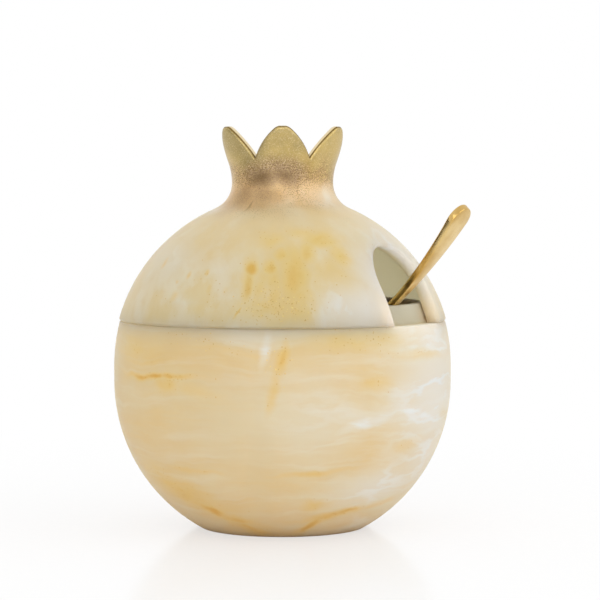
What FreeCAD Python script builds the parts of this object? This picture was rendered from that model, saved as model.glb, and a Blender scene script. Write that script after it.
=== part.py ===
"""Honey dish in the shape of a pomegranate: a cast resin bowl, a lift-off lid with a crown, and a spoon.

Millimetres, +Z up. The origin is the centre of the foot, and +X points at the spoon notch in the lid.
The lid stands on the ledge of the bowl, round the bowl's lip. The spoon lies in the plane Y = 0: its
stem leans on the lip under the notch, and its scoop hangs in the honey well a little above the floor.
"""

import FreeCAD, Part

import math
import os
from enum import IntEnum
from types import SimpleNamespace

import Sketcher
from FreeCAD import Placement, Rotation, Vector

# The driving dimensions: alias, value in millimetres, degrees or a count, and what it measures.
DIMENSIONS = [
    ("body_radius", 55.0, "outside radius of the round body at its belt"),
    ("foot_radius", 26.7, "radius of the flat foot before its edge is rounded"),
    ("belt_height", 5.1, "straight stretch between the lower and the upper hemisphere"),
    ("seam_rise", 14.4, "seam between bowl and lid above the centre of the upper hemisphere"),
    ("bowl_wall", 7.0, "wall of the bowl"),
    ("floor_thickness", 8.0, "floor of the bowl"),
    ("floor_round", 12.0, "round between the floor and the wall of the honey well"),
    ("foot_round", 1.2, "round at the edge of the foot"),
    ("ledge_round", 0.6, "round at the outer edge of the ledge that carries the lid"),
    ("lip_height", 6.2, "locating lip above the ledge"),
    ("lip_round", 0.9, "round on both edges of the lip"),
    ("lip_clearance", 0.35, "gap between the lip and the inside of the lid"),
    ("lid_wall", 4.5, "wall of the lid"),
    ("lid_overhang", 0.4, "lid beyond the bowl at the seam"),
    ("lid_edge_round", 0.9, "round at the lower edge of the lid and round the spoon notch"),
    ("neck_radius", 16.5, "smallest outside radius under the crown"),
    ("shoulder_round", 9.0, "hollow round from the dome into the neck"),
    ("flare_round", 20.0, "hollow round from the neck into the petals"),
    ("flare_angle", 20.0, "lean of the petals from upright"),
    ("crown_rise", 18.1, "petal tips above the narrowest part of the neck"),
    ("crown_wall", 2.8, "petal thickness at the tip"),
    ("petal_edge_round", 1.0, "round on the outer edges of the petals"),
    ("petal_inner_round", 0.45, "round on the inner edges of the petals"),
    ("cup_depth", 19.0, "depth of the hollow in the crown"),
    ("neck_wall", 5.0, "how far the floor of that hollow stays inside the neck"),
    ("cup_round", 3.0, "round at the floor of that hollow"),
    ("petal_count", 6, "petals round the crown"),
    ("petal_turn", 4.5, "turn of the first petal from the spoon notch"),
    ("gap_depth", 9.9, "depth of the gaps between petals"),
    ("gap_side_radius", 30.0, "radius of the petal sides"),
    ("petal_tip_round", 4.0, "radius of the petal tips"),
    ("petal_tip_flat", 1.0, "half of the level stretch at a petal tip"),
    ("notch_width", 26.0, "width of the spoon notch"),
    ("notch_height", 24.4, "height of the spoon notch above the seam"),
    ("spoon_lean", 43.0, "slope of the spoon stem"),
    ("spoon_clearance", 0.3, "gap between the spoon and the lip it leans on"),
    ("scoop_floor_gap", 6.8, "lowest point of the scoop above the floor of the honey well"),
    ("stem_into_scoop", 3.0, "stem past the heel of the scoop"),
    ("handle_outside", 39.5, "handle from the lip to its tip, along the stem"),
    ("handle_sweep", 170.0, "radius of the upward sweep of the handle"),
    ("stem_width", 2.9, "width of the stem at the lip"),
    ("heel_width", 4.4, "width of the stem at the scoop"),
    ("stem_thickness", 2.2, "thickness of the stem and the handle"),
    ("paddle_width", 9.8, "width of the round end of the handle"),
    ("taper_round", 60.0, "sweep of the sides where the stem widens into the handle"),
    ("handle_edge_round", 0.4, "round on the long edges of the handle"),
    ("scoop_length", 33.0, "length of the scoop"),
    ("scoop_width", 20.0, "width of the scoop"),
    ("scoop_depth", 6.6, "outside depth of the scoop"),
    ("scoop_wall", 1.0, "wall of the scoop"),
    ("scoop_tip_up", 13.0, "turn of the scoop up from the stem"),
    ("cut_overrun", 5.0, "how far every cut runs past the solid"),
    ("match_distance", 0.02, "how near an edge lies to the place where it is looked for"),
]

# What follows from them: alias, formula and what it measures.
DERIVED = [
    (
        "belly_height",
        "sqrt(body_radius^2 - foot_radius^2)",
        "centre of the lower hemisphere above the table",
    ),
    (
        "upper_height",
        "belly_height + belt_height",
        "centre of the upper hemisphere above the table",
    ),
    ("seam_height", "upper_height + seam_rise", "seam between bowl and lid above the table"),
    (
        "neck_height",
        "upper_height + sqrt((body_radius + lid_overhang + shoulder_round)^2"
        " - (neck_radius + shoulder_round)^2)",
        "narrowest part of the neck above the table",
    ),
    ("cup_radius", "neck_radius - neck_wall", "radius of the floor of the hollow in the crown"),
    ("crown_height", "neck_height + crown_rise", "petal tips above the table"),
    (
        "tip_radius",
        "neck_radius + flare_round * (1 - cos(flare_angle * 1 deg))"
        " + (crown_rise - flare_round * sin(flare_angle * 1 deg)) * tan(flare_angle * 1 deg)",
        "outside radius of the crown at the petal tips",
    ),
    (
        "gap_half_width",
        "(tip_radius - crown_wall / 2) * sin(180 deg / petal_count)",
        "half width of a gap, to the middle of the petal tips",
    ),
    (
        "rest_height",
        "seam_height + lip_height - lip_round",
        "centre of the lip's inner round above the table",
    ),
    (
        "rest_radius",
        "sqrt((body_radius - bowl_wall + lip_round)^2 - (rest_height - upper_height)^2)",
        "centre of the lip's inner round from the axis",
    ),
    (
        "scoop_drop",
        "sqrt((scoop_length / 2 * sin((spoon_lean - scoop_tip_up) * 1 deg))^2"
        " + (scoop_depth * cos((spoon_lean - scoop_tip_up) * 1 deg))^2)",
        "lowest point of the leaning scoop below its middle",
    ),
    (
        "scoop_middle",
        "(rest_height + (lip_round + spoon_clearance) * cos(spoon_lean * 1 deg)"
        " + (stem_thickness + scoop_length / 2 * sin(scoop_tip_up * 1 deg)) * cos(spoon_lean * 1 deg)"
        " - floor_thickness - scoop_floor_gap - scoop_drop) / sin(spoon_lean * 1 deg)",
        "middle of the scoop from the lip, along the stem",
    ),
    (
        "stem_inside",
        "scoop_middle - scoop_length / 2 * cos(scoop_tip_up * 1 deg)",
        "stem from the lip to the scoop",
    ),
]

ALIASES = [alias for alias, _, _ in DIMENSIONS + DERIVED]
SHEET = "Dimensions"
START, END, CENTRE = IntEnum("CurvePoint", "START END CENTRE")
LEVEL_AXIS, UPRIGHT_AXIS = IntEnum("SketchAxis", {"LEVEL": -1, "UPRIGHT": -2})
ORIGIN = (LEVEL_AXIS, START)
FULL_TURN = 360.0
HALF_TURN = 180.0


def make_sheet(doc):
    """Puts the dimensions into the document's spreadsheet and returns their values."""
    sheet = doc.addObject("Spreadsheet::Sheet", SHEET)
    contents = [(alias, str(value), meaning) for alias, value, meaning in DIMENSIONS]
    contents += [(alias, f"={formula}", meaning) for alias, formula, meaning in DERIVED]
    for row, (alias, content, meaning) in enumerate(contents, start=1):
        sheet.set(f"A{row}", meaning)
        sheet.set(f"B{row}", content)
        sheet.setAlias(f"B{row}", alias)
    doc.recompute()
    return SimpleNamespace(**{alias: float(getattr(sheet, alias)) for alias in ALIASES})


def cells(formula):
    """A formula in which every {alias} has become that cell of the spreadsheet."""
    return formula.format(**{alias: f"{SHEET}.{alias}" for alias in ALIASES})


def side(long_side, other):
    """The other short side of a right-angled triangle."""
    return math.sqrt(long_side**2 - other**2)


def origin_feature(body, role):
    """The plane or axis of a body's own origin that has this role."""
    return next(f for f in body.Origin.OriginFeatures if f.Role == role)


class Outline:
    """A closed, fully constrained sketch whose sizes are bound to the spreadsheet."""

    def __init__(self, body, name, plane):
        self.sketch = body.newObject("Sketcher::SketchObject", name)
        self.sketch.AttachmentSupport = [(origin_feature(body, plane), "")]
        self.sketch.MapMode = "FlatFace"

    def turn(self, formula):
        """Turns the sketch about its own upright axis by an angle in degrees."""
        angle = self.sketch.evalExpression(cells(formula))
        self.sketch.AttachmentOffset = Placement(Vector(), Rotation(Vector(0, 1, 0), angle))
        self.sketch.setExpression("AttachmentOffset.Rotation.Angle", cells(formula))

    def line(self, start, end):
        """Adds a line between two points given as (across, up)."""
        return self.sketch.addGeometry(Part.LineSegment(Vector(*start, 0), Vector(*end, 0)))

    def arc(self, centre, start, end):
        """Adds an arc that runs anticlockwise round its centre from start to end."""
        start_ray = Vector(*start, 0) - Vector(*centre, 0)
        end_ray = Vector(*end, 0) - Vector(*centre, 0)
        circle = Part.Circle(Vector(*centre, 0), Vector(0, 0, 1), start_ray.Length)
        angles = [math.atan2(ray.y, ray.x) for ray in (start_ray, end_ray)]
        return self.sketch.addGeometry(Part.ArcOfCircle(circle, *angles))

    def hold(self, kind, *numbers):
        """Adds a constraint that has no size."""
        self.sketch.addConstraint(Sketcher.Constraint(kind, *numbers))

    def join(self, *pairs):
        """Makes each pair of curve ends one point."""
        for first, second in pairs:
            self.hold("Coincident", *first, *second)

    def smooth(self, first, second):
        """Joins two curve ends with a common tangent."""
        self.hold("Tangent", *first, *second)

    def size(self, name, formula, kind, *numbers):
        """Adds a dimension and binds it to a formula in spreadsheet cells."""
        value = float(self.sketch.evalExpression(cells(formula)))
        if kind == "Angle":
            value = math.radians(value)
        index = self.sketch.addConstraint(Sketcher.Constraint(kind, *numbers, value))
        self.sketch.renameConstraint(index, name)
        unit = " * 1 deg" if kind == "Angle" else ""
        self.sketch.setExpression(f"Constraints.{name}", f"({cells(formula)}){unit}")

    def height(self, name, formula, point):
        """Sets how high a point lies above the sketch's origin."""
        self.size(name, formula, "DistanceY", *ORIGIN, *point)

    def across(self, name, formula, point):
        """Sets how far a point lies to the right of the sketch's origin."""
        self.size(name, formula, "DistanceX", *ORIGIN, *point)


def revolve(body, name, outline):
    """Turns a closed outline once round the upright axis of its sketch."""
    feature = body.newObject("PartDesign::Revolution", name)
    feature.Profile = outline.sketch
    feature.ReferenceAxis = (outline.sketch, ["V_Axis"])
    feature.Angle = FULL_TURN
    return feature


def cut_outward(body, name, outline, length):
    """Cuts an outline from its plane in the direction of the plane's normal."""
    feature = body.newObject("PartDesign::Pocket", name)
    feature.Profile = outline.sketch
    feature.Reversed = True
    feature.setExpression("Length", cells(length))
    return feature


def round_edges(body, name, base, edges, radius):
    """Rounds the named edges of a feature with a radius from the spreadsheet."""
    feature = body.newObject("PartDesign::Fillet", name)
    feature.Base = (base, edges)
    feature.setExpression("Radius", cells(radius))
    body.Document.recompute()
    return feature


def edge_names(feature, wanted):
    """Names of the edges of a feature's shape that a test picks out."""
    edges = enumerate(feature.Shape.Edges, start=1)
    names = [f"Edge{number}" for number, edge in edges if not edge.Degenerated and wanted(edge)]
    if not names:
        raise RuntimeError(f"no edge to round on {feature.Label}")
    return names


def ring_edges(feature, size, rings):
    """Names of the edges that are level circles round the axis, given as (radius, height)."""

    def on_ring(edge):
        if not isinstance(edge.Curve, Part.Circle):
            return False
        place = (edge.Curve.Radius, edge.Curve.Center.z)
        return any(math.dist(place, ring) < size.match_distance for ring in rings)

    return edge_names(feature, on_ring)


def bowl_outline(body, size):
    """Half section of the bowl: foot, belly, belt, ledge, lip and honey well."""
    lower = size.belly_height
    upper = size.upper_height
    outside = size.body_radius
    inside = outside - size.bowl_wall
    lip_sphere = outside + size.lid_overhang - size.lid_wall - size.lip_clearance
    seam = size.seam_height
    lip_top = seam + size.lip_height
    floor = size.floor_thickness

    foot_edge = (side(outside, lower), 0)
    ledge_edge = (side(outside, seam - upper), seam)
    lip_base = (side(lip_sphere, seam - upper), seam)
    lip_outer = (side(lip_sphere, lip_top - upper), lip_top)
    lip_inner = (side(inside, lip_top - upper), lip_top)
    floor_edge = (side(inside, lower - floor), floor)

    outline = Outline(body, "bowl_section", "XZ_Plane")
    foot = outline.line((0, 0), foot_edge)
    belly = outline.arc((0, lower), foot_edge, (outside, lower))
    belt = outline.line((outside, lower), (outside, upper))
    shoulder = outline.arc((0, upper), (outside, upper), ledge_edge)
    ledge = outline.line(ledge_edge, lip_base)
    lip_face = outline.arc((0, upper), lip_base, lip_outer)
    lip_edge = outline.line(lip_outer, lip_inner)
    well_top = outline.arc((0, upper), (inside, upper), lip_inner)
    well_belt = outline.line((inside, upper), (inside, lower))
    well = outline.arc((0, lower), floor_edge, (inside, lower))
    well_floor = outline.line(floor_edge, (0, floor))
    axis = outline.line((0, floor), (0, 0))

    outline.join(
        ((foot, END), (belly, START)),
        ((belly, END), (belt, START)),
        ((belt, END), (shoulder, START)),
        ((shoulder, END), (ledge, START)),
        ((ledge, END), (lip_face, START)),
        ((lip_face, END), (lip_edge, START)),
        ((lip_edge, END), (well_top, END)),
        ((well_top, START), (well_belt, START)),
        ((well_belt, END), (well, END)),
        ((well, START), (well_floor, START)),
        ((well_floor, END), (axis, START)),
        ((axis, END), (foot, START)),
        ((foot, START), ORIGIN),
        ((well, CENTRE), (belly, CENTRE)),
        ((lip_face, CENTRE), (shoulder, CENTRE)),
        ((well_top, CENTRE), (shoulder, CENTRE)),
    )
    for level in (foot, ledge, lip_edge, well_floor):
        outline.hold("Horizontal", level)
    outline.hold("Vertical", axis)
    outline.hold("PointOnObject", belly, CENTRE, UPRIGHT_AXIS)
    outline.hold("PointOnObject", shoulder, CENTRE, UPRIGHT_AXIS)
    outline.hold("Horizontal", belt, START, belly, CENTRE)
    outline.hold("Horizontal", belt, END, shoulder, CENTRE)
    outline.hold("Horizontal", well_belt, START, shoulder, CENTRE)
    outline.hold("Horizontal", well_belt, END, belly, CENTRE)
    outline.hold("Equal", belly, shoulder)
    outline.hold("Equal", well, well_top)
    outline.size("outside", "{body_radius}", "Radius", belly)
    outline.size("inside", "{body_radius} - {bowl_wall}", "Radius", well)
    outline.size(
        "lip_sphere",
        "{body_radius} + {lid_overhang} - {lid_wall} - {lip_clearance}",
        "Radius",
        lip_face,
    )
    outline.height("lower_centre", "{belly_height}", (belly, CENTRE))
    outline.height("upper_centre", "{upper_height}", (shoulder, CENTRE))
    outline.height("seam", "{seam_height}", (ledge, START))
    outline.height("lip_top", "{seam_height} + {lip_height}", (lip_edge, START))
    outline.height("floor", "{floor_thickness}", (well_floor, START))
    rings = SimpleNamespace(
        foot=foot_edge, ledge=ledge_edge, lip=(lip_outer, lip_inner), floor=floor_edge
    )
    return outline, rings


def make_bowl(doc, size):
    """The bowl: a thick cast wall with a flat foot, a ledge for the lid and a lip that locates it."""
    body = doc.addObject("PartDesign::Body", "bowl")
    outline, rings = bowl_outline(body, size)
    form = revolve(body, "bowl_form", outline)
    doc.recompute()
    edges = ring_edges(form, size, [rings.floor])
    form = round_edges(body, "well_corner", form, edges, "{floor_round}")
    edges = ring_edges(form, size, [rings.foot])
    form = round_edges(body, "foot_edge", form, edges, "{foot_round}")
    edges = ring_edges(form, size, [rings.ledge])
    form = round_edges(body, "ledge_edge", form, edges, "{ledge_round}")
    edges = ring_edges(form, size, rings.lip)
    round_edges(body, "lip_edges", form, edges, "{lip_round}")
    return body


def lid_outline(body, size):
    """Half section of the lid: seat, dome, neck, flaring crown, the crown's cup and the hollow dome."""
    centre = (0, size.upper_height)
    outside = size.body_radius + size.lid_overhang
    inside = outside - size.lid_wall
    seam = size.seam_height
    tip_height = size.crown_height
    lean = math.radians(size.flare_angle)

    seat_outer = (side(outside, seam - centre[1]), seam)
    seat_inner = (side(inside, seam - centre[1]), seam)
    round_centre_radius = size.neck_radius + size.shoulder_round
    round_reach = outside + size.shoulder_round
    neck_height = size.neck_height
    round_centre = (round_centre_radius, neck_height)
    outside_share = outside / round_reach
    dome_end = (
        round_centre_radius * outside_share,
        centre[1] + (neck_height - centre[1]) * outside_share,
    )
    neck = (size.neck_radius, neck_height)
    flare_centre = (size.neck_radius + size.flare_round, neck_height)
    flare_end = (
        flare_centre[0] - size.flare_round * math.cos(lean),
        neck_height + size.flare_round * math.sin(lean),
    )
    tip_outer = (size.tip_radius, tip_height)
    tip_inner = (tip_outer[0] - size.crown_wall, tip_height)
    cup_height = tip_height - size.cup_depth
    cup_edge = (size.cup_radius, cup_height)
    ceiling = (0, centre[1] + inside)

    outline = Outline(body, "lid_section", "XZ_Plane")
    # The section stands opposite the notch, halfway from a petal's middle to the next gap, so that
    # the seam of the turned form meets neither the notch nor the tip or the foot of a petal.
    outline.turn("180 + {petal_turn} + 90 / {petal_count}")
    seat = outline.line(seat_inner, seat_outer)
    dome = outline.arc(centre, seat_outer, dome_end)
    hollow = outline.arc(round_centre, neck, dome_end)
    flare = outline.arc(flare_centre, flare_end, neck)
    petal = outline.line(flare_end, tip_outer)
    tip = outline.line(tip_outer, tip_inner)
    cup_wall = outline.line(tip_inner, cup_edge)
    cup_floor = outline.line(cup_edge, (0, cup_height))
    axis = outline.line((0, cup_height), ceiling)
    inner_dome = outline.arc(centre, seat_inner, ceiling)

    outline.smooth((dome, END), (hollow, END))
    outline.smooth((hollow, START), (flare, END))
    outline.smooth((flare, START), (petal, START))
    outline.join(
        ((seat, END), (dome, START)),
        ((petal, END), (tip, START)),
        ((tip, END), (cup_wall, START)),
        ((cup_wall, END), (cup_floor, START)),
        ((cup_floor, END), (axis, START)),
        ((axis, END), (inner_dome, END)),
        ((inner_dome, START), (seat, START)),
        ((inner_dome, CENTRE), (dome, CENTRE)),
    )
    for level in (seat, tip, cup_floor):
        outline.hold("Horizontal", level)
    outline.hold("Vertical", axis)
    outline.hold("PointOnObject", axis, START, UPRIGHT_AXIS)
    outline.hold("PointOnObject", dome, CENTRE, UPRIGHT_AXIS)
    outline.hold("Horizontal", hollow, START, hollow, CENTRE)
    outline.size("outside", "{body_radius} + {lid_overhang}", "Radius", dome)
    outline.size("inside", "{body_radius} + {lid_overhang} - {lid_wall}", "Radius", inner_dome)
    outline.size("hollow", "{shoulder_round}", "Radius", hollow)
    outline.size("flare", "{flare_round}", "Radius", flare)
    outline.size("lean", "90 - {flare_angle}", "Angle", LEVEL_AXIS, START, petal, START)
    outline.height("centre", "{upper_height}", (dome, CENTRE))
    outline.height("seam", "{seam_height}", (seat, START))
    outline.across("neck", "{neck_radius}", (hollow, START))
    outline.height("tip", "{crown_height}", (tip, START))
    outline.size("petal_wall", "{crown_wall}", "DistanceX", tip, END, tip, START)
    outline.height("cup_floor", "{crown_height} - {cup_depth}", (cup_floor, START))
    outline.across("cup_radius", "{cup_radius}", (cup_floor, START))
    return outline, SimpleNamespace(seat=seat_outer, cup=cup_edge)


def notch_outline(body, size):
    """The arch of the spoon notch: upright sides and a half round top, open at the seam."""
    half_width = size.notch_width / 2
    foot = size.seam_height - size.cut_overrun
    spring = size.seam_height + size.notch_height - half_width

    outline = Outline(body, "notch_arch", "YZ_Plane")
    sill = outline.line((-half_width, foot), (half_width, foot))
    right = outline.line((half_width, foot), (half_width, spring))
    top = outline.arc((0, spring), (half_width, spring), (-half_width, spring))
    left = outline.line((-half_width, spring), (-half_width, foot))
    outline.join(
        ((sill, END), (right, START)),
        ((right, END), (top, START)),
        ((top, END), (left, START)),
        ((left, END), (sill, START)),
    )
    outline.hold("Horizontal", sill)
    outline.hold("Vertical", right)
    outline.hold("PointOnObject", top, CENTRE, UPRIGHT_AXIS)
    outline.hold("Horizontal", top, CENTRE, top, START)
    outline.hold("Horizontal", top, CENTRE, top, END)
    outline.size("half_width", "{notch_width} / 2", "Radius", top)
    outline.height("sill", "{seam_height} - {cut_overrun}", (sill, START))
    outline.height("spring", "{seam_height} + {notch_height} - {notch_width} / 2", (top, CENTRE))
    outline.hold("Vertical", left)
    return outline


def gap_outline(body, size):
    """One gap of the crown: a pointed valley between the sides and round tips of two petals."""
    tip = size.crown_height
    valley = (0, tip - size.gap_depth)
    above = tip + size.cut_overrun
    tip_end = size.gap_half_width - size.petal_tip_flat
    tip_drop = side(size.petal_tip_round, size.petal_tip_flat)
    tip_centre = (size.gap_half_width, tip - tip_drop)
    reach = math.dist(valley, tip_centre)
    between = size.gap_side_radius - size.petal_tip_round
    opening = math.acos(
        (size.gap_side_radius**2 + reach**2 - between**2) / (2 * size.gap_side_radius * reach)
    )
    turn = math.atan2(tip_centre[1] - valley[1], tip_centre[0]) - opening
    side_centre = (
        size.gap_side_radius * math.cos(turn),
        valley[1] + size.gap_side_radius * math.sin(turn),
    )
    round_share = size.petal_tip_round / between
    meet = tuple(c + (c - s) * round_share for c, s in zip(tip_centre, side_centre))

    def mirrored(point):
        return (-point[0], point[1])

    outline = Outline(body, "petal_gap", "YZ_Plane")
    outline.turn("{petal_turn} + 180 / {petal_count}")
    right_tip = outline.arc(tip_centre, (tip_end, tip), meet)
    right = outline.arc(side_centre, meet, valley)
    left = outline.arc(mirrored(side_centre), valley, mirrored(meet))
    left_tip = outline.arc(mirrored(tip_centre), mirrored(meet), (-tip_end, tip))
    left_wall = outline.line((-tip_end, tip), (-tip_end, above))
    top = outline.line((-tip_end, above), (tip_end, above))
    right_wall = outline.line((tip_end, above), (tip_end, tip))
    outline.smooth((right_tip, END), (right, START))
    outline.smooth((left, END), (left_tip, START))
    outline.join(
        ((right, END), (left, START)),
        ((left_tip, END), (left_wall, START)),
        ((left_wall, END), (top, START)),
        ((top, END), (right_wall, START)),
        ((right_wall, END), (right_tip, START)),
    )
    outline.hold("Vertical", left_wall)
    outline.hold("Vertical", right_wall)
    outline.hold("Horizontal", top)
    outline.hold("PointOnObject", right, END, UPRIGHT_AXIS)
    outline.hold("Symmetric", left_wall, START, right_wall, END, UPRIGHT_AXIS)
    outline.hold("Symmetric", left_tip, CENTRE, right_tip, CENTRE, UPRIGHT_AXIS)
    outline.hold("Equal", right, left)
    outline.size("side_radius", "{gap_side_radius}", "Radius", right)
    outline.size("tip_radius", "{petal_tip_round}", "Radius", right_tip)
    outline.height("valley", "{crown_height} - {gap_depth}", (right, END))
    outline.height("tip", "{crown_height}", (right_tip, START))
    outline.height("above", "{crown_height} + {cut_overrun}", (top, END))
    outline.across("tip_end", "{gap_half_width} - {petal_tip_flat}", (right_tip, START))
    outline.across("tip_centre", "{gap_half_width}", (right_tip, CENTRE))
    return outline


def make_lid(doc, size):
    """The lid: a hollow dome with a spoon notch, a neck and a crown of petals."""
    body = doc.addObject("PartDesign::Body", "lid")
    outline, rings = lid_outline(body, size)
    form = revolve(body, "lid_form", outline)
    doc.recompute()
    reach = "{body_radius} + {lid_overhang} + {cut_overrun}"
    form = cut_outward(body, "spoon_notch", notch_outline(body, size), reach)
    doc.recompute()
    edges = notch_edges(form, size) + ring_edges(form, size, [rings.seat])
    form = round_edges(body, "lid_edges", form, edges, "{lid_edge_round}")
    edges = ring_edges(form, size, [rings.cup])
    round_edges(body, "cup_corner", form, edges, "{cup_round}")

    gap = cut_outward(body, "petal_gap_cut", gap_outline(body, size), reach)
    doc.recompute()
    crown = body.newObject("PartDesign::PolarPattern", "crown")
    crown.Originals = [gap]
    crown.Axis = (origin_feature(body, "Z_Axis"), [""])
    crown.Angle = FULL_TURN
    crown.setExpression("Occurrences", cells("{petal_count}"))
    body.Tip = crown
    doc.recompute()
    edges = petal_edges(crown, size, outside=True)
    form = round_edges(body, "petal_edges", crown, edges, "{petal_edge_round}")
    edges = petal_edges(form, size, outside=False)
    round_edges(body, "petal_inner_edges", form, edges, "{petal_inner_round}")
    return body


def notch_edges(form, size):
    """Names of the edges of the spoon notch on the outside and the inside of the dome."""
    half_width = size.notch_width / 2
    spring = size.seam_height + size.notch_height - half_width

    def on_arch(point):
        if point.x < half_width:
            return False
        if point.z < spring:
            return abs(abs(point.y) - half_width) < size.match_distance
        return abs(math.hypot(point.y, point.z - spring) - half_width) < size.match_distance

    def runs_round_notch(edge):
        ends = [edge.valueAt(edge.FirstParameter), edge.valueAt(edge.LastParameter)]
        middle = edge.valueAt((edge.FirstParameter + edge.LastParameter) / 2)
        through_wall = math.dist(ends[0][1:], ends[1][1:]) < size.match_distance
        return all(on_arch(point) for point in (*ends, middle)) and not through_wall

    return edge_names(form, runs_round_notch)


def petal_edges(form, size, outside):
    """Names of the edges along the petals, on the outside or the inside of the crown."""
    valley = size.crown_height - size.gap_depth
    lean = math.tan(math.radians(size.flare_angle))

    def along_petal(edge):
        heights = [vertex.Z for vertex in edge.Vertexes]
        radii = [math.hypot(vertex.X, vertex.Y) for vertex in edge.Vertexes]
        level = abs(heights[0] - heights[-1]) < size.match_distance
        across_wall = level and abs(radii[0] - radii[-1]) > size.match_distance
        return min(heights) > valley - size.match_distance and not across_wall

    def set_back(edge):
        middle = edge.valueAt((edge.FirstParameter + edge.LastParameter) / 2)
        return math.hypot(middle.x, middle.y) + (size.crown_height - middle.z) * lean

    edges = [edge for edge in form.Shape.Edges if not edge.Degenerated and along_petal(edge)]
    middle_of_wall = max(set_back(edge) for edge in edges) - size.crown_wall / 2
    return edge_names(
        form, lambda edge: along_petal(edge) and (set_back(edge) > middle_of_wall) == outside
    )


def handle_side_outline(body, size):
    """Side view of the blank for stem and handle: straight, then sweeping gently upward past the tip."""
    thickness = size.stem_thickness
    inner_end = -(size.stem_inside + size.stem_into_scoop)
    sweep = size.handle_sweep
    outer_end = size.handle_outside + size.cut_overrun
    turn = math.asin(outer_end / sweep)
    centre = (0, sweep)
    under_tip = (outer_end, sweep - sweep * math.cos(turn))
    upper_sweep = sweep - thickness
    over_tip = (upper_sweep * math.sin(turn), sweep - upper_sweep * math.cos(turn))

    outline = Outline(body, "handle_side", "XZ_Plane")
    under = outline.line((inner_end, 0), (0, 0))
    under_arc = outline.arc(centre, (0, 0), under_tip)
    end = outline.line(under_tip, over_tip)
    over_arc = outline.arc(centre, (0, thickness), over_tip)
    over = outline.line((0, thickness), (inner_end, thickness))
    inner = outline.line((inner_end, thickness), (inner_end, 0))
    outline.join(
        ((under, END), (under_arc, START)),
        ((under_arc, END), (end, START)),
        ((end, END), (over_arc, END)),
        ((over_arc, START), (over, START)),
        ((over, END), (inner, START)),
        ((inner, END), (under, START)),
        ((under, END), ORIGIN),
        ((over_arc, CENTRE), (under_arc, CENTRE)),
    )
    outline.hold("Horizontal", under)
    outline.hold("Horizontal", over)
    outline.hold("Vertical", inner)
    outline.hold("PointOnObject", under_arc, CENTRE, UPRIGHT_AXIS)
    outline.hold("PointOnObject", over, START, UPRIGHT_AXIS)
    outline.hold("PointOnObject", under_arc, CENTRE, end)
    outline.size("sweep", "{handle_sweep}", "Radius", under_arc)
    outline.height("thickness", "{stem_thickness}", (over, START))
    outline.across("outer_end", "{handle_outside} + {cut_overrun}", (under_arc, END))
    outline.size(
        "stem_length", "{stem_inside} + {stem_into_scoop}", "DistanceX", under, START, under, END
    )
    return outline


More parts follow.
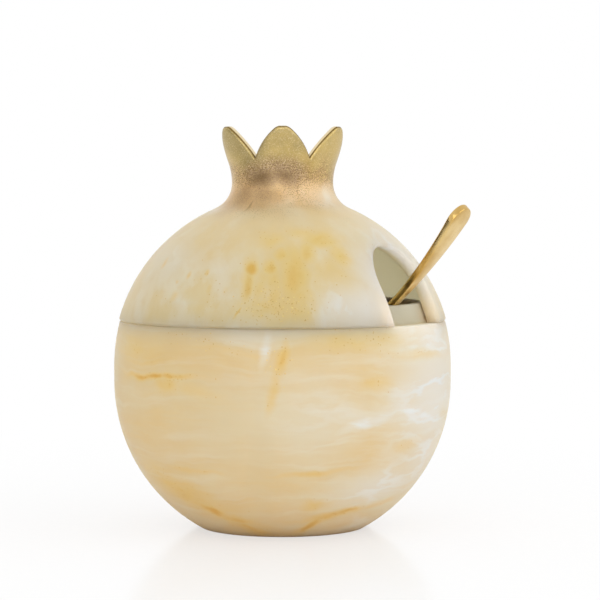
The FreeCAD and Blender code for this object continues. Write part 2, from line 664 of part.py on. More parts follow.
def handle_trim_outline(body, size):
    """Plan of the handle inside a frame: what lies between the two is trimmed away."""
    inner_end = -(size.stem_inside + size.stem_into_scoop)
    heel_half = size.heel_width / 2
    stem_half = size.stem_width / 2
    end_radius = size.paddle_width / 2
    end_centre = (size.handle_outside - end_radius, 0)
    frame_left = inner_end - size.cut_overrun
    frame_right = size.handle_outside + size.cut_overrun
    frame_half = end_radius + size.cut_overrun

    # The straight taper is a tangent that crosses from the sweep at the lip to the round end.
    sweep_centre = (0, -(stem_half + size.taper_round))
    to_end = (end_centre[0], -sweep_centre[1])
    turn = math.atan2(to_end[1], to_end[0])
    turn -= math.asin((size.taper_round + end_radius) / math.hypot(*to_end))
    normal = (-math.sin(turn), math.cos(turn))
    sweep_end = tuple(c + size.taper_round * n for c, n in zip(sweep_centre, normal))
    taper_end = tuple(c - end_radius * n for c, n in zip(end_centre, normal))

    def mirrored(point):
        return (point[0], -point[1])

    outline = Outline(body, "handle_trim", "XY_Plane")
    corners = [
        (frame_left, -frame_half),
        (frame_right, -frame_half),
        (frame_right, frame_half),
        (frame_left, frame_half),
    ]
    frame = [outline.line(corner, corners[number - 3]) for number, corner in enumerate(corners)]
    heel = outline.line((inner_end, heel_half), (inner_end, -heel_half))
    low_stem = outline.line((inner_end, -heel_half), (0, -stem_half))
    low_sweep = outline.arc(sweep_centre, sweep_end, (0, -stem_half))
    low_taper = outline.line(sweep_end, taper_end)
    end = outline.arc(end_centre, taper_end, mirrored(taper_end))
    high_taper = outline.line(mirrored(taper_end), mirrored(sweep_end))
    high_sweep = outline.arc(mirrored(sweep_centre), (0, stem_half), mirrored(sweep_end))
    high_stem = outline.line((0, stem_half), (inner_end, heel_half))
    outline.join(*(((line, END), (frame[number - 3], START)) for number, line in enumerate(frame)))
    outline.join(((high_stem, END), (heel, START)), ((heel, END), (low_stem, START)))
    outline.smooth((low_stem, END), (low_sweep, END))
    outline.smooth((low_sweep, START), (low_taper, START))
    outline.smooth((low_taper, END), (end, START))
    outline.smooth((end, END), (high_taper, START))
    outline.smooth((high_taper, END), (high_sweep, END))
    outline.smooth((high_sweep, START), (high_stem, START))
    for level in (frame[0], frame[2]):
        outline.hold("Horizontal", level)
    outline.hold("Vertical", frame[1])
    outline.hold("Symmetric", *(frame[0], START), *(frame[3], START), LEVEL_AXIS)
    outline.hold("Symmetric", *(heel, START), *(heel, END), LEVEL_AXIS)
    outline.hold("Symmetric", *(low_stem, END), *(high_stem, START), LEVEL_AXIS)
    outline.hold("PointOnObject", end, CENTRE, LEVEL_AXIS)
    outline.hold("PointOnObject", low_stem, END, UPRIGHT_AXIS)
    outline.hold("Equal", low_sweep, high_sweep)
    stem = "{stem_inside} + {stem_into_scoop}"
    outline.size("frame_left", f"{stem} + {{cut_overrun}}", "DistanceX", frame[0], START, *ORIGIN)
    outline.across("frame_right", "{handle_outside} + {cut_overrun}", (frame[0], END))
    outline.height("frame_half", "{paddle_width} / 2 + {cut_overrun}", (frame[2], START))
    outline.size("heel_place", stem, "DistanceX", heel, START, *ORIGIN)
    outline.height("heel_half", "{heel_width} / 2", (heel, START))
    outline.height("stem_half", "{stem_width} / 2", (high_stem, START))
    outline.size("sweep", "{taper_round}", "Radius", low_sweep)
    outline.across("end_centre", "{handle_outside} - {paddle_width} / 2", (end, CENTRE))
    outline.size("end_radius", "{paddle_width} / 2", "Radius", end)
    return outline


def add_scoop(body, size, name, kind, wall):
    """Adds or takes away the lower half of an egg shape that leans up from the end of the stem."""
    half_length = f"({{scoop_length}} / 2 - {wall})"
    feature = body.newObject(f"PartDesign::{kind}Ellipsoid", name)
    feature.AttachmentSupport = [(origin_feature(body, "XY_Plane"), "")]
    feature.MapMode = "FlatFace"
    feature.Angle1 = -HALF_TURN / 2
    feature.Angle2 = 0
    feature.Angle3 = FULL_TURN
    feature.setExpression("Radius1", cells(f"{{scoop_depth}} - {wall}"))
    feature.setExpression("Radius2", cells(half_length))
    feature.setExpression("Radius3", cells(f"{{scoop_width}} / 2 - {wall}"))
    feature.AttachmentOffset = Placement(Vector(), Rotation(Vector(0, 1, 0), size.scoop_tip_up))
    place = "AttachmentOffset"
    centre_up = "{stem_thickness} + {scoop_length} / 2 * sin({scoop_tip_up} * 1 deg)"
    feature.setExpression(f"{place}.Base.x", cells("-{scoop_middle}"))
    feature.setExpression(f"{place}.Base.z", cells(centre_up))
    feature.setExpression(f"{place}.Rotation.Angle", cells("{scoop_tip_up}"))
    return feature


def make_spoon(doc, size):
    """The spoon: a flat stem that widens into a paddle, and a thin egg-shaped scoop."""
    body = doc.addObject("PartDesign::Body", "spoon")
    blank = body.newObject("PartDesign::Pad", "handle_blank")
    blank.Profile = handle_side_outline(body, size).sketch
    blank.SideType = "Symmetric"
    blank.setExpression("Length", cells("{paddle_width} + {cut_overrun}"))
    doc.recompute()

    handle = body.newObject("PartDesign::Pocket", "handle")
    handle.Profile = handle_trim_outline(body, size).sketch
    handle.SideType = "Symmetric"
    handle.Type = "ThroughAll"
    doc.recompute()
    round_edges(body, "handle_edges", handle, long_edges(handle, size), "{handle_edge_round}")

    add_scoop(body, size, "scoop", "Additive", "0")
    doc.recompute()
    add_scoop(body, size, "scoop_hollow", "Subtractive", "{scoop_wall}")
    doc.recompute()

    lean_on_lip(body, size)
    return body


def long_edges(form, size):
    """Names of the edges along the handle, above and below, from the scoop to the tip."""

    def along_handle(edge):
        ends = [edge.valueAt(edge.FirstParameter), edge.valueAt(edge.LastParameter)]
        return (ends[0] - ends[1]).Length > size.heel_width

    return edge_names(form, along_handle)


def lean_on_lip(spoon, size):
    """Places the spoon so that the underside of its stem leans on the round of the lip."""
    offset = "({lip_round} + {spoon_clearance})"
    lean = "({spoon_lean} * 1 deg)"
    spoon.Placement = Placement(Vector(), Rotation(Vector(0, -1, 0), size.spoon_lean))
    spoon.setExpression("Placement.Base.x", cells(f"{{rest_radius}} - {offset} * sin{lean}"))
    spoon.setExpression("Placement.Base.z", cells(f"{{rest_height}} + {offset} * cos{lean}"))
    spoon.setExpression("Placement.Rotation.Angle", cells("{spoon_lean}"))


def check_document(doc, pieces):
    """Stops if any object failed or any piece isn't one valid solid."""
    failed = [o.Label for o in doc.Objects if {"Invalid", "Error"} & set(o.State)]
    if failed:
        raise RuntimeError(f"failed objects: {failed}")
    for piece in pieces:
        shape = piece.Shape
        if shape.isNull() or not shape.isValid() or len(shape.Solids) != 1:
            raise RuntimeError(f"{piece.Label} isn't one valid solid")


def export(pieces):
    """Writes each piece to a file of its own name."""
    os.makedirs("parts", exist_ok=True)
    for piece in pieces:
        piece.Shape.exportStep(f"parts/{piece.Label}.step")
        box = piece.Shape.BoundBox
        print(f"{piece.Label}: volume {piece.Shape.Volume:.1f} mm3, box {box}")


def main():
    """Builds the dish and writes its pieces."""
    doc = FreeCAD.newDocument("honey_dish")
    size = make_sheet(doc)
    pieces = [make_bowl(doc, size), make_lid(doc, size), make_spoon(doc, size)]
    doc.recompute()
    check_document(doc, pieces)
    export(pieces)


main()
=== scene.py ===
"""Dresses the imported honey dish: marbled resin, gilded crown, polished spoon, studio and camera.

Metres, +Z up. The origin is the centre of the foot and +X points at the spoon notch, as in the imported
model. Places on the round body are given as an angle to the right of the camera and a height.
"""

import logging
import math
from dataclasses import dataclass
from enum import Enum
from typing import Any

import bmesh
import bpy
from bpy.types import GeometryNodeTree, Material, Node, NodeOutputs, NodeSocket, NodeTree, Object
from mathutils import Euler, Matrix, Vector


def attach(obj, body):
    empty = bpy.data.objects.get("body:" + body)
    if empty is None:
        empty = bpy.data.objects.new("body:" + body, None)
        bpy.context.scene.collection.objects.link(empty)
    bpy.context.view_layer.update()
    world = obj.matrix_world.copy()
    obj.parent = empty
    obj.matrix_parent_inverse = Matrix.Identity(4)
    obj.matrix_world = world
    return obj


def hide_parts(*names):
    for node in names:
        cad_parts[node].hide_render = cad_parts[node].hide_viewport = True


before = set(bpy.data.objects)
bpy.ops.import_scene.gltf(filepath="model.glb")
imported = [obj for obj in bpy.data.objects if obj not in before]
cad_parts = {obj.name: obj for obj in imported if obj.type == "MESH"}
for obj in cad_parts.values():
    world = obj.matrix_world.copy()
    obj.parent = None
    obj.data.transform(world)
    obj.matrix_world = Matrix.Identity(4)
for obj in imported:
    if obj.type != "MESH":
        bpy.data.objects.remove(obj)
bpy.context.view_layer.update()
LOG = logging.getLogger("honey_dish")

CAMERA_TURN = math.radians(34.5)
MERGE_DISTANCE = 1e-6
LEAST_ARC_STEPS = 6
SMALLEST_FLECK = (0.35, 0.35, 0.15)
LARGEST_FLECK = (1.0, 1.0, 0.3)

Triple = tuple[float, float, float]
Colour = tuple[float, float, float, float]
Value = Any
WHITE: Colour = (1.0, 1.0, 1.0, 1.0)


def screen_colour(red: int, green: int, blue: int) -> Colour:
    """Turns a colour as a screen shows it into the linear colour that shaders take.

    Args:
        red: Red from 0 to 255.
        green: Green from 0 to 255.
        blue: Blue from 0 to 255.

    Returns:
        Linear red, green, blue and full alpha.
    """
    low_slope, low_end = 12.92, 0.04045
    offset, gamma = 0.055, 2.4
    linear = []
    for level in (red / 255, green / 255, blue / 255):
        if level <= low_end:
            linear.append(level / low_slope)
        else:
            linear.append(((level + offset) / (1 + offset)) ** gamma)
    return (*linear, 1.0)


def outward(side: float) -> Vector:
    """Gives the level way out of the dish at an angle, in radians, right of the camera."""
    turn = CAMERA_TURN + side
    return Vector((math.sin(turn), -math.cos(turn), 0))


class Wiring:
    """Adds nodes to one node tree and links them."""

    def __init__(self, tree: NodeTree) -> None:
        """Keeps the tree that the nodes go into."""
        self.tree = tree

    def feed(self, socket: NodeSocket, value: Value) -> None:
        """Links an output to an input, or sets the input's own value.

        Args:
            socket: The input to feed.
            value: An output socket, or a plain value.
        """
        if isinstance(value, NodeSocket):
            self.tree.links.new(value, socket)
        else:
            socket.default_value = value

    def add(self, kind: str, inputs: dict[str | int, Value] | None = None, **settings: Value) -> Node:
        """Adds a node, sets its options and feeds its inputs.

        Args:
            kind: Blender's name for the type of node.
            inputs: A value or an output socket for each input, by name or number.
            **settings: The node's own options.

        Returns:
            The new node.
        """
        node = self.tree.nodes.new(kind)
        for name, value in settings.items():
            setattr(node, name, value)
        for key, value in (inputs or {}).items():
            self.feed(node.inputs[key], value)
        return node

    def number(self, operation: str, *values: Value) -> NodeSocket:
        """Works out a number from others by one of the math node's operations."""
        return self.add("ShaderNodeMath", dict(enumerate(values)), operation=operation).outputs[0]

    def times(self, first: Value, second: Value) -> NodeSocket:
        """Multiplies two numbers."""
        return self.number("MULTIPLY", first, second)

    def vector(self, operation: str, *values: Value) -> NodeSocket:
        """Works out a vector from others, or its length where that is the operation."""
        node = self.add("ShaderNodeVectorMath", dict(enumerate(values)), operation=operation)
        return node.outputs["Value" if operation == "LENGTH" else "Vector"]


@dataclass(frozen=True)
class Layer:
    """One cloudy noise: its waves in a metre, its finer layers and its seed."""

    per_metre: float
    detail: float = 3.0
    seed: float = 0.0


class Mixed(Enum):
    """What a mix node mixes: its type of data, the numbers of its two inputs and of its output."""

    COLOURS = ("RGBA", 6, 7, 2)
    NUMBERS = ("FLOAT", 2, 3, 0)


class ShaderWiring(Wiring):
    """Wiring for materials and the world."""

    def place(self) -> NodeSocket:
        """Gives the place on the surface, in the piece's own frame."""
        return self.add("ShaderNodeTexCoord").outputs["Object"]

    def noise(self, place: NodeSocket, layer: Layer, seed: float = 0.0) -> NodeSocket:
        """Adds a cloudy noise.

        Args:
            place: Where the noise is read.
            layer: What the noise is like.
            seed: What is added to its seed.

        Returns:
            The noise's level. Its node also gives a colour.
        """
        inputs = {"Vector": place, "Scale": layer.per_metre, "Detail": layer.detail}
        inputs["W"] = layer.seed + seed
        return self.add("ShaderNodeTexNoise", inputs, noise_dimensions="4D").outputs[0]

    def ramp(
        self, value: Value, low: Value, high: Value, start: Value = 0.0, end: Value = 1.0
    ) -> NodeSocket:
        """Fades smoothly from the level start to end while a value goes from low to high."""
        inputs = {"Value": value, "From Min": low, "From Max": high, "To Min": start, "To Max": end}
        return self.add("ShaderNodeMapRange", inputs, interpolation_type="SMOOTHSTEP").outputs[0]

    def band(self, value: NodeSocket, middle: float, half_width: float) -> NodeSocket:
        """Gives one where a value is at the middle, fading to nothing half a width away."""
        away = self.number("ABSOLUTE", self.number("SUBTRACT", value, middle))
        return self.ramp(away, 0.0, half_width, 1.0, 0.0)

    def mix(
        self, share: Value, first: Value, second: Value, kind: Mixed = Mixed.COLOURS
    ) -> NodeSocket:
        """Mixes two colours or two numbers.

        Args:
            share: How much of the second one there is.
            first: A colour, number or socket.
            second: A colour, number or socket.
            kind: Which of the two kinds they are.

        Returns:
            The mix.
        """
        data_type, first_input, second_input, output = kind.value
        inputs = {"Factor": share, first_input: first, second_input: second}
        return self.add("ShaderNodeMix", inputs, data_type=data_type).outputs[output]


def new_material(name: str) -> tuple[Material, ShaderWiring]:
    """Makes an empty material.

    Args:
        name: The material's name.

    Returns:
        The material and the wiring of its empty tree.
    """
    material = bpy.data.materials.new(name)
    material.use_nodes = True
    material.node_tree.nodes.clear()
    return material, ShaderWiring(material.node_tree)


@dataclass
class Surface:
    """The sockets and values that the shader of a finish takes."""

    colour: NodeSocket
    roughness: NodeSocket
    height: NodeSocket
    metallic: Value = 0.0

    def connect(self, wiring: ShaderWiring, bump_depth: float, **constants: Value) -> None:
        """Ends a material in one shader.

        Args:
            wiring: The material's wiring.
            bump_depth: Depth of the fine relief, in metres.
            **constants: The shader's inputs that are the same all over.
        """
        relief = {"Strength": 1.0, "Distance": bump_depth, "Height": self.height}
        bump = wiring.add("ShaderNodeBump", relief)
        inputs = {
            "Base Color": self.colour,
            "Roughness": self.roughness,
            "Metallic": self.metallic,
            "Normal": bump.outputs[0],
        }
        inputs |= {name.replace("_", " "): value for name, value in constants.items()}
        shader = wiring.add("ShaderNodeBsdfPrincipled", inputs)
        wiring.add("ShaderNodeOutputMaterial", {"Surface": shader.outputs[0]})


class Tint(Enum):
    """What a mark on the resin is: a tint that it is made of, or painted shade."""

    AMBER = "amber"
    MILK = "milk"
    PAINTED_SHADE = "shade"
    SPECKS = "specks"
    SMOKE = "smoke"
    BARE = "bare"


@dataclass(frozen=True)
class Mark:
    """One soft mark in the resin, placed as it is seen from the camera, with its angles in degrees."""

    side: float
    height: float
    half_length: float
    half_height: float
    strength: float
    tilt: float = 0.0

    def mask(self, wiring: ShaderWiring, place: NodeSocket, radius: float) -> NodeSocket:
        """Fades the mark out from its middle.

        Args:
            wiring: The material's wiring.
            place: Where the surface is, with its flow.
            radius: Radius of the body at the mark's height.

        Returns:
            The mark's level.
        """
        depth = self.half_length + self.half_height
        direction = outward(math.radians(self.side))
        turn = math.atan2(direction.y, direction.x)
        inputs = {
            "Vector": place,
            "Location": direction * radius + Vector((0, 0, self.height)),
            "Rotation": Euler((math.radians(self.tilt), 0, turn)),
            "Scale": Vector((depth, self.half_length, self.half_height)),
        }
        local = wiring.add("ShaderNodeMapping", inputs, vector_type="TEXTURE").outputs[0]
        return wiring.ramp(wiring.vector("LENGTH", local), 0.0, 1.0, self.strength, 0.0)


MarkTable = dict[Tint, tuple[Mark, ...]]


@dataclass(frozen=True)
class MarbledResin:
    """Cast resin: cream clouds, milky wisps, amber runs and fine gold-brown specks, with an inside
    painted paler for light that comes through the walls.
    """

    name: str
    marks: MarkTable
    radius: float
    low_centre: float
    high_centre: float
    stretch: Triple
    seed: float
    least_radius: float = 0.0165
    skin_depth: float = 0.0040
    # painted light: this paler inside colour stands in for light that comes through the walls
    inside: Colour = screen_colour(255, 221, 172)
    cream: Colour = screen_colour(235, 194, 140)
    pale: Colour = screen_colour(238, 209, 168)
    milk: Colour = screen_colour(252, 247, 240)
    # painted shade: the colour of the darker marks where the body is in shade
    shade: Colour = screen_colour(224, 200, 160)
    amber: Colour = screen_colour(242, 188, 100)
    deep_amber: Colour = screen_colour(222, 152, 58)
    speck: Colour = screen_colour(222, 162, 76)
    swirls: tuple[tuple[Layer, float], ...] = ((Layer(40.0), 0.008), (Layer(170.0), 0.0018))
    clouds: Layer = Layer(20.0, 5.0)
    strands: Layer = Layer(38.0, 6.0, 5.0)
    strand_milk: float = 0.18
    strand_amber: float = 0.20
    threads: Layer = Layer(34.0, 6.0, 1.0)
    thread_half: float = 0.09
    patches: Layer = Layer(18.0, 3.0, 2.0)
    stray_share: float = 0.35
    veil_share: float = 0.6
    veins: Layer = Layer(26.0, 5.0, 3.0)
    vein_share: float = 0.4
    grain: Layer = Layer(150.0, 4.0, 4.0)
    specks_per_metre: float = 1250.0
    speck_crowd: float = 0.8
    amber_crowd: float = 0.45
    speck_share: float = 0.75
    relief: Layer = Layer(420.0)
    relief_depth: float = 0.00004
    scatter_length: float = 0.025
    refraction: float = 1.4

    def body_radius(self, height: float) -> float:
        """Gives the radius of the body's outside at a height above the table."""
        centre = min(max(height, self.low_centre), self.high_centre)
        return math.sqrt(max(self.radius**2 - (height - centre) ** 2, self.least_radius**2))

    def tint_level(self, wiring: ShaderWiring, place: NodeSocket, tint: Tint) -> Value:
        """Joins all marks of one tint.

        Args:
            wiring: The material's wiring.
            place: Where the surface is, with its flow.
            tint: The tint whose marks are joined.

        Returns:
            The level of that tint.
        """
        level: Value = 0.0
        for mark in self.marks.get(tint, ()):
            mask = mark.mask(wiring, place, self.body_radius(mark.height))
            level = wiring.number("MAXIMUM", level, mask)
        return level

    def flowing_place(self, wiring: ShaderWiring) -> NodeSocket:
        """Gives the place on the surface, pushed about as stirred resin flows.

        Args:
            wiring: The material's wiring.

        Returns:
            The place.
        """
        place = wiring.place()
        flowing = place
        for layer, push in self.swirls:
            swirl = wiring.noise(place, layer, self.seed).node.outputs["Color"]
            centred = wiring.vector("SUBTRACT", swirl, (0.5, 0.5, 0.5))
            flowing = wiring.vector("ADD", flowing, wiring.vector("MULTIPLY", centred, (push,) * 3))
        return flowing

    def painted_inside_light(self, wiring: ShaderWiring, place: NodeSocket) -> NodeSocket:
        """Tells the inside of the casting, painted paler as a stand-in for light that comes through it,
        from the outside.

        Args:
            wiring: The material's wiring.
            place: Where the surface is.

        Returns:
            One on the inside, nothing on the outside.
        """
        height = wiring.add("ShaderNodeSeparateXYZ", {0: place}).outputs[2]
        limits = {"Value": height, "Min": self.low_centre, "Max": self.high_centre}
        nearest = wiring.add("ShaderNodeClamp", limits).outputs[0]
        centre = wiring.add("ShaderNodeCombineXYZ", {"Z": nearest}).outputs[0]
        reach = wiring.vector("LENGTH", wiring.vector("SUBTRACT", place, centre))
        skin_inside = self.radius - self.skin_depth
        skin_middle = self.radius - self.skin_depth / 2
        return wiring.ramp(reach, skin_inside, skin_middle, 1.0, 0.0)

    def surface(self, wiring: ShaderWiring) -> Surface:
        """Lays the resin's colours over each other.

        Args:
            wiring: The material's wiring.

        Returns:
            The finished surface.
        """
        place = wiring.place()
        flowing = self.flowing_place(wiring)
        streaked = wiring.vector("MULTIPLY", flowing, self.stretch)

        clouds = wiring.noise(streaked, self.clouds, self.seed)
        colour = wiring.mix(wiring.ramp(clouds, 0.38, 0.66), self.cream, self.pale)

        drawn = wiring.vector("MULTIPLY", streaked, self.stretch)
        strands = wiring.noise(drawn, self.strands, self.seed)
        colour = wiring.mix(wiring.ramp(strands, 0.48, 0.72, 0.0, self.strand_milk), colour, self.milk)
        colour = wiring.mix(wiring.ramp(strands, 0.46, 0.26, 0.0, self.strand_amber), colour, self.amber)

        # Painted shade: darker marks where the body is in shade.
        shade = self.tint_level(wiring, flowing, Tint.PAINTED_SHADE)
        colour = wiring.mix(shade, colour, self.shade)

        threads = wiring.noise(streaked, self.threads, self.seed)
        thread = wiring.band(threads, 0.5, self.thread_half)
        patches = wiring.noise(flowing, self.patches, self.seed)
        stray = wiring.times(wiring.ramp(patches, 0.5, 0.7), self.stray_share)
        milk_mark = self.tint_level(wiring, flowing, Tint.MILK)
        milk = wiring.times(thread, wiring.number("MAXIMUM", stray, milk_mark))
        veil = wiring.times(milk_mark, self.veil_share)
        colour = wiring.mix(wiring.number("MAXIMUM", milk, veil), colour, self.milk)

        veins = wiring.noise(streaked, self.veins, self.seed)
        vein = wiring.times(wiring.ramp(veins, 0.6, 0.78), self.vein_share)
        grain = wiring.noise(flowing, self.grain, self.seed)
        uneven = wiring.ramp(grain, 0.3, 0.62, 0.65, 1.0)
        amber_mark = self.tint_level(wiring, flowing, Tint.AMBER)
        amber = wiring.times(wiring.number("MAXIMUM", vein, amber_mark), uneven)
        colour = wiring.mix(amber, colour, self.amber)
        colour = wiring.mix(wiring.ramp(amber, 0.5, 1.0, 0.0, 0.6), colour, self.deep_amber)

        dots = wiring.add("ShaderNodeTexVoronoi", {"Vector": place, "Scale": self.specks_per_metre})
        dot = wiring.ramp(dots.outputs["Distance"], 0.16, 0.30, 1.0, 0.0)
        chance = wiring.add("ShaderNodeSeparateColor", {0: dots.outputs["Color"]}).outputs[0]
        speck_mark = self.tint_level(wiring, flowing, Tint.SPECKS)
        crowd = wiring.number("MAXIMUM", speck_mark, wiring.times(amber, self.amber_crowd))
        shown = wiring.number("LESS_THAN", chance, wiring.times(crowd, self.speck_crowd))
        specks = wiring.times(wiring.times(dot, shown), self.speck_share)
        colour = wiring.mix(specks, colour, self.speck)

        # Painted light: the inside is painted paler for light that comes through the walls.
        colour = wiring.mix(self.painted_inside_light(wiring, place), colour, self.inside)
        roughness = wiring.ramp(clouds, 0.3, 0.7, 0.36, 0.46)
        height = wiring.noise(place, self.relief, self.seed)
        return Surface(colour, roughness, height)

    def build(self) -> Material:
        """Makes the material.

        Returns:
            The material.
        """
        material, wiring = new_material(self.name)
        self.surface(wiring).connect(
            wiring,
            bump_depth=self.relief_depth,
            Subsurface_Weight=1.0,
            Subsurface_Radius=(1.0, 1.0, 1.0),
            Subsurface_Scale=self.scatter_length,
            IOR=self.refraction,
        )
        return material


@dataclass(frozen=True)
class GildedResin(MarbledResin):
    """Marbled resin with gold paint on the crown that is sprayed thinner and thinner down the neck."""

    paint_low: float = 0.1145
    paint_high: float = 0.1205
    spray_low: float = 0.1000
    rim_radius: float = 0.0204
    rim_height: float = 0.1304
    rim_slope: float = 0.38
    rim_line: float = 0.0007
    rim_line_half: float = 0.0005
    drift: Layer = Layer(60.0, 3.0, 6.0)
    drift_height: float = 0.0035
    droplets: Layer = Layer(3000.0, 1.0, 7.0)
    droplet_start: float = 0.84
    droplet_gain: float = 0.46
    droplet_below: float = 0.28
    droplet_above: float = 0.12
    droplet_relief: float = 0.35
    haze_share: float = 0.4
    dark_brown_share: float = 0.8
    inner_share: float = 0.8
    spray_metal: float = 0.55
    solid_metal: float = 0.85
    glints: Layer = Layer(2800.0, 1.0, 8.0)
    tones: Layer = Layer(80.0, 3.0, 9.0)
    paint_roughness: float = 0.34
    gold: Colour = screen_colour(164, 144, 90)
    warm_gold: Colour = screen_colour(204, 176, 108)
    brown_gold: Colour = screen_colour(138, 108, 66)
    smoke: Colour = screen_colour(104, 76, 42)
    # painted shade: the dark line along the petals' rims
    rim_painted_shade: Colour = screen_colour(104, 78, 26)
    inner_gold: Colour = screen_colour(238, 218, 176)

    def surface(self, wiring: ShaderWiring) -> Surface:
        """Lays the gold paint over the resin.

        Args:
            wiring: The material's wiring.

        Returns:
            The finished surface.
        """
        resin = super().surface(wiring)
        place = wiring.place()
        split = wiring.add("ShaderNodeSeparateXYZ", {0: place}).outputs
        level = wiring.vector("MULTIPLY", place, (1, 1, 0))
        from_axis = wiring.vector("LENGTH", level)

        drift = wiring.noise(place, self.drift, self.seed)
        shift = wiring.ramp(drift, 0.3, 0.7, -self.drift_height, self.drift_height)
        drifted = wiring.number("ADD", split[2], shift)
        mist = wiring.ramp(drifted, self.spray_low, self.paint_high)
        droplets = wiring.noise(place, self.droplets, self.seed)
        gain = wiring.times(mist, self.droplet_gain)
        spread = wiring.number("SUBTRACT", self.droplet_start, gain)
        thin = wiring.number("SUBTRACT", spread, self.droplet_below)
        thick = wiring.number("ADD", spread, self.droplet_above)
        spray = wiring.ramp(droplets, thin, thick)
        haze = wiring.times(mist, self.haze_share)
        misted = wiring.times(spray, wiring.ramp(mist, 0.0, 0.12))
        spray = wiring.number("MAXIMUM", misted, haze)
        solid = wiring.ramp(drifted, self.paint_low, self.paint_high)
        flowing = self.flowing_place(wiring)
        # Darker brown patches from the marks.
        smoke = self.tint_level(wiring, flowing, Tint.SMOKE)
        covered = wiring.number("SUBTRACT", 1.0, self.tint_level(wiring, flowing, Tint.BARE))
        paint = wiring.number("MAXIMUM", wiring.number("MAXIMUM", spray, solid), smoke)
        paint = wiring.times(paint, covered)

        glint = wiring.noise(place, self.glints, self.seed)
        sprayed = wiring.mix(wiring.ramp(glint, 0.40, 0.68), self.brown_gold, self.warm_gold)
        tone = wiring.noise(place, self.tones, self.seed)
        painted = wiring.mix(wiring.ramp(tone, 0.35, 0.7), self.gold, self.warm_gold)
        painted = wiring.mix(wiring.ramp(glint, 0.5, 0.72, 0.0, 0.45), painted, self.inner_gold)
        gold = wiring.mix(solid, sprayed, painted)
        gold = wiring.mix(wiring.times(smoke, self.dark_brown_share), gold, self.smoke)

        below_rim = wiring.number("SUBTRACT", self.rim_height, split[2])
        narrowing = wiring.times(below_rim, self.rim_slope)
        wall_middle = wiring.number("SUBTRACT", self.rim_radius, narrowing)
        past_middle = wiring.number("SUBTRACT", from_axis, wall_middle)
        inside = wiring.ramp(past_middle, 0.0, self.rim_line, 1.0, 0.0)
        gold = wiring.mix(wiring.times(inside, self.inner_share), gold, self.inner_gold)
        # Painted shade: a dark line along the inside of the petals' rims, standing in for the dark that
        # the rims mirror.
        rim_shade_line = wiring.band(past_middle, self.rim_line, self.rim_line_half)
        gold = wiring.mix(rim_shade_line, gold, self.rim_painted_shade)

        colour = wiring.mix(paint, resin.colour, gold)
        roughness = wiring.mix(paint, resin.roughness, self.paint_roughness, Mixed.NUMBERS)
        metal = wiring.mix(solid, self.spray_metal, self.solid_metal, Mixed.NUMBERS)
        metallic = wiring.times(paint, metal)
        height = wiring.number("ADD", resin.height, wiring.times(spray, self.droplet_relief))
        return Surface(colour, roughness, height, metallic)


@dataclass(frozen=True)
class PolishedGold:
    """Polished gold plating with faint drawn lines and a little wear."""

    name: str = "spoon_gold"
    bright: Colour = screen_colour(234, 206, 144)
    deep: Colour = screen_colour(192, 150, 72)
    line_stretch: Triple = (160.0, 1400.0, 160.0)
    lines: Layer = Layer(1.0, 3.0, 5.0)
    line_depth: float = 0.000006
    tones: Layer = Layer(70.0, 4.0, 3.0)

    def build(self) -> Material:
        """Makes the material.

        Returns:
            The material.
        """
        material, wiring = new_material(self.name)
        place = wiring.place()
        tone = wiring.noise(place, self.tones)
        colour = wiring.mix(wiring.ramp(tone, 0.35, 0.7), self.bright, self.deep)
        drawn = wiring.vector("MULTIPLY", place, self.line_stretch)
        lines = wiring.noise(drawn, self.lines)
        roughness = wiring.ramp(lines, 0.25, 0.75, 0.10, 0.20)
        surface = Surface(colour, roughness, lines, metallic=1.0)
        surface.connect(wiring, bump_depth=self.line_depth)
        return material


@dataclass(frozen=True)
class GoldFleck:
    """Loose gold leaf in the resin."""

    name: str = "gold_fleck"
    bright: Colour = screen_colour(252, 214, 134)
    dark: Colour = screen_colour(238, 176, 92)
    tones: Layer = Layer(900.0, 1.0, 2.0)
    metal_share: float = 0.2
    relief_depth: float = 0.00002

    def build(self) -> Material:
        """Makes the material.

        Returns:
            The material.
        """
        material, wiring = new_material(self.name)
        place = wiring.place()
        tone = wiring.noise(place, self.tones)
        colour = wiring.mix(wiring.ramp(tone, 0.4, 0.62), self.dark, self.bright)
        roughness = wiring.ramp(tone, 0.3, 0.7, 0.2, 0.4)
        surface = Surface(colour, roughness, tone, metallic=self.metal_share)
        surface.connect(wiring, bump_depth=self.relief_depth)
        return material


class Section:
    """Half a round section: points at a radius and a height, from the foot up and down inside."""

    def __init__(self, step: float) -> None:
        """Starts an empty section whose arcs have a point at every step of this many radians."""
        self.step = step
        self.points: list[Triple] = []

    def point(self, radius: float, height: float) -> None:
        """Adds a corner."""
        self.points.append((radius, 0.0, height))

    def arc(self, centre: tuple[float, float], radius: float, start: float, end: float) -> None:
        """Adds an arc.

        Args:
            centre: Radius and height of the arc's centre.
            radius: The arc's own radius.
            start: Angle up from level at which the arc starts.
            end: Angle at which it ends.
        """
        steps = max(math.ceil(abs(end - start) / self.step), LEAST_ARC_STEPS)
        for number in range(steps + 1):
            angle = start + (end - start) * number / steps
            self.point(centre[0] + radius * math.cos(angle), centre[1] + radius * math.sin(angle))


def across(reach: float, rise: float) -> float:
    """Gives the short side of a right-angled triangle beside a rise."""
    return math.sqrt(reach**2 - rise**2)


def round_place(sphere: float, centre: float, height: float) -> tuple[tuple[float, float], float]:
    """Gives a round's place, at a height on a sphere, and the angle at which the sphere meets it."""
    radius = across(sphere, height - centre)
    return (radius, height), math.atan2(height - centre, radius)


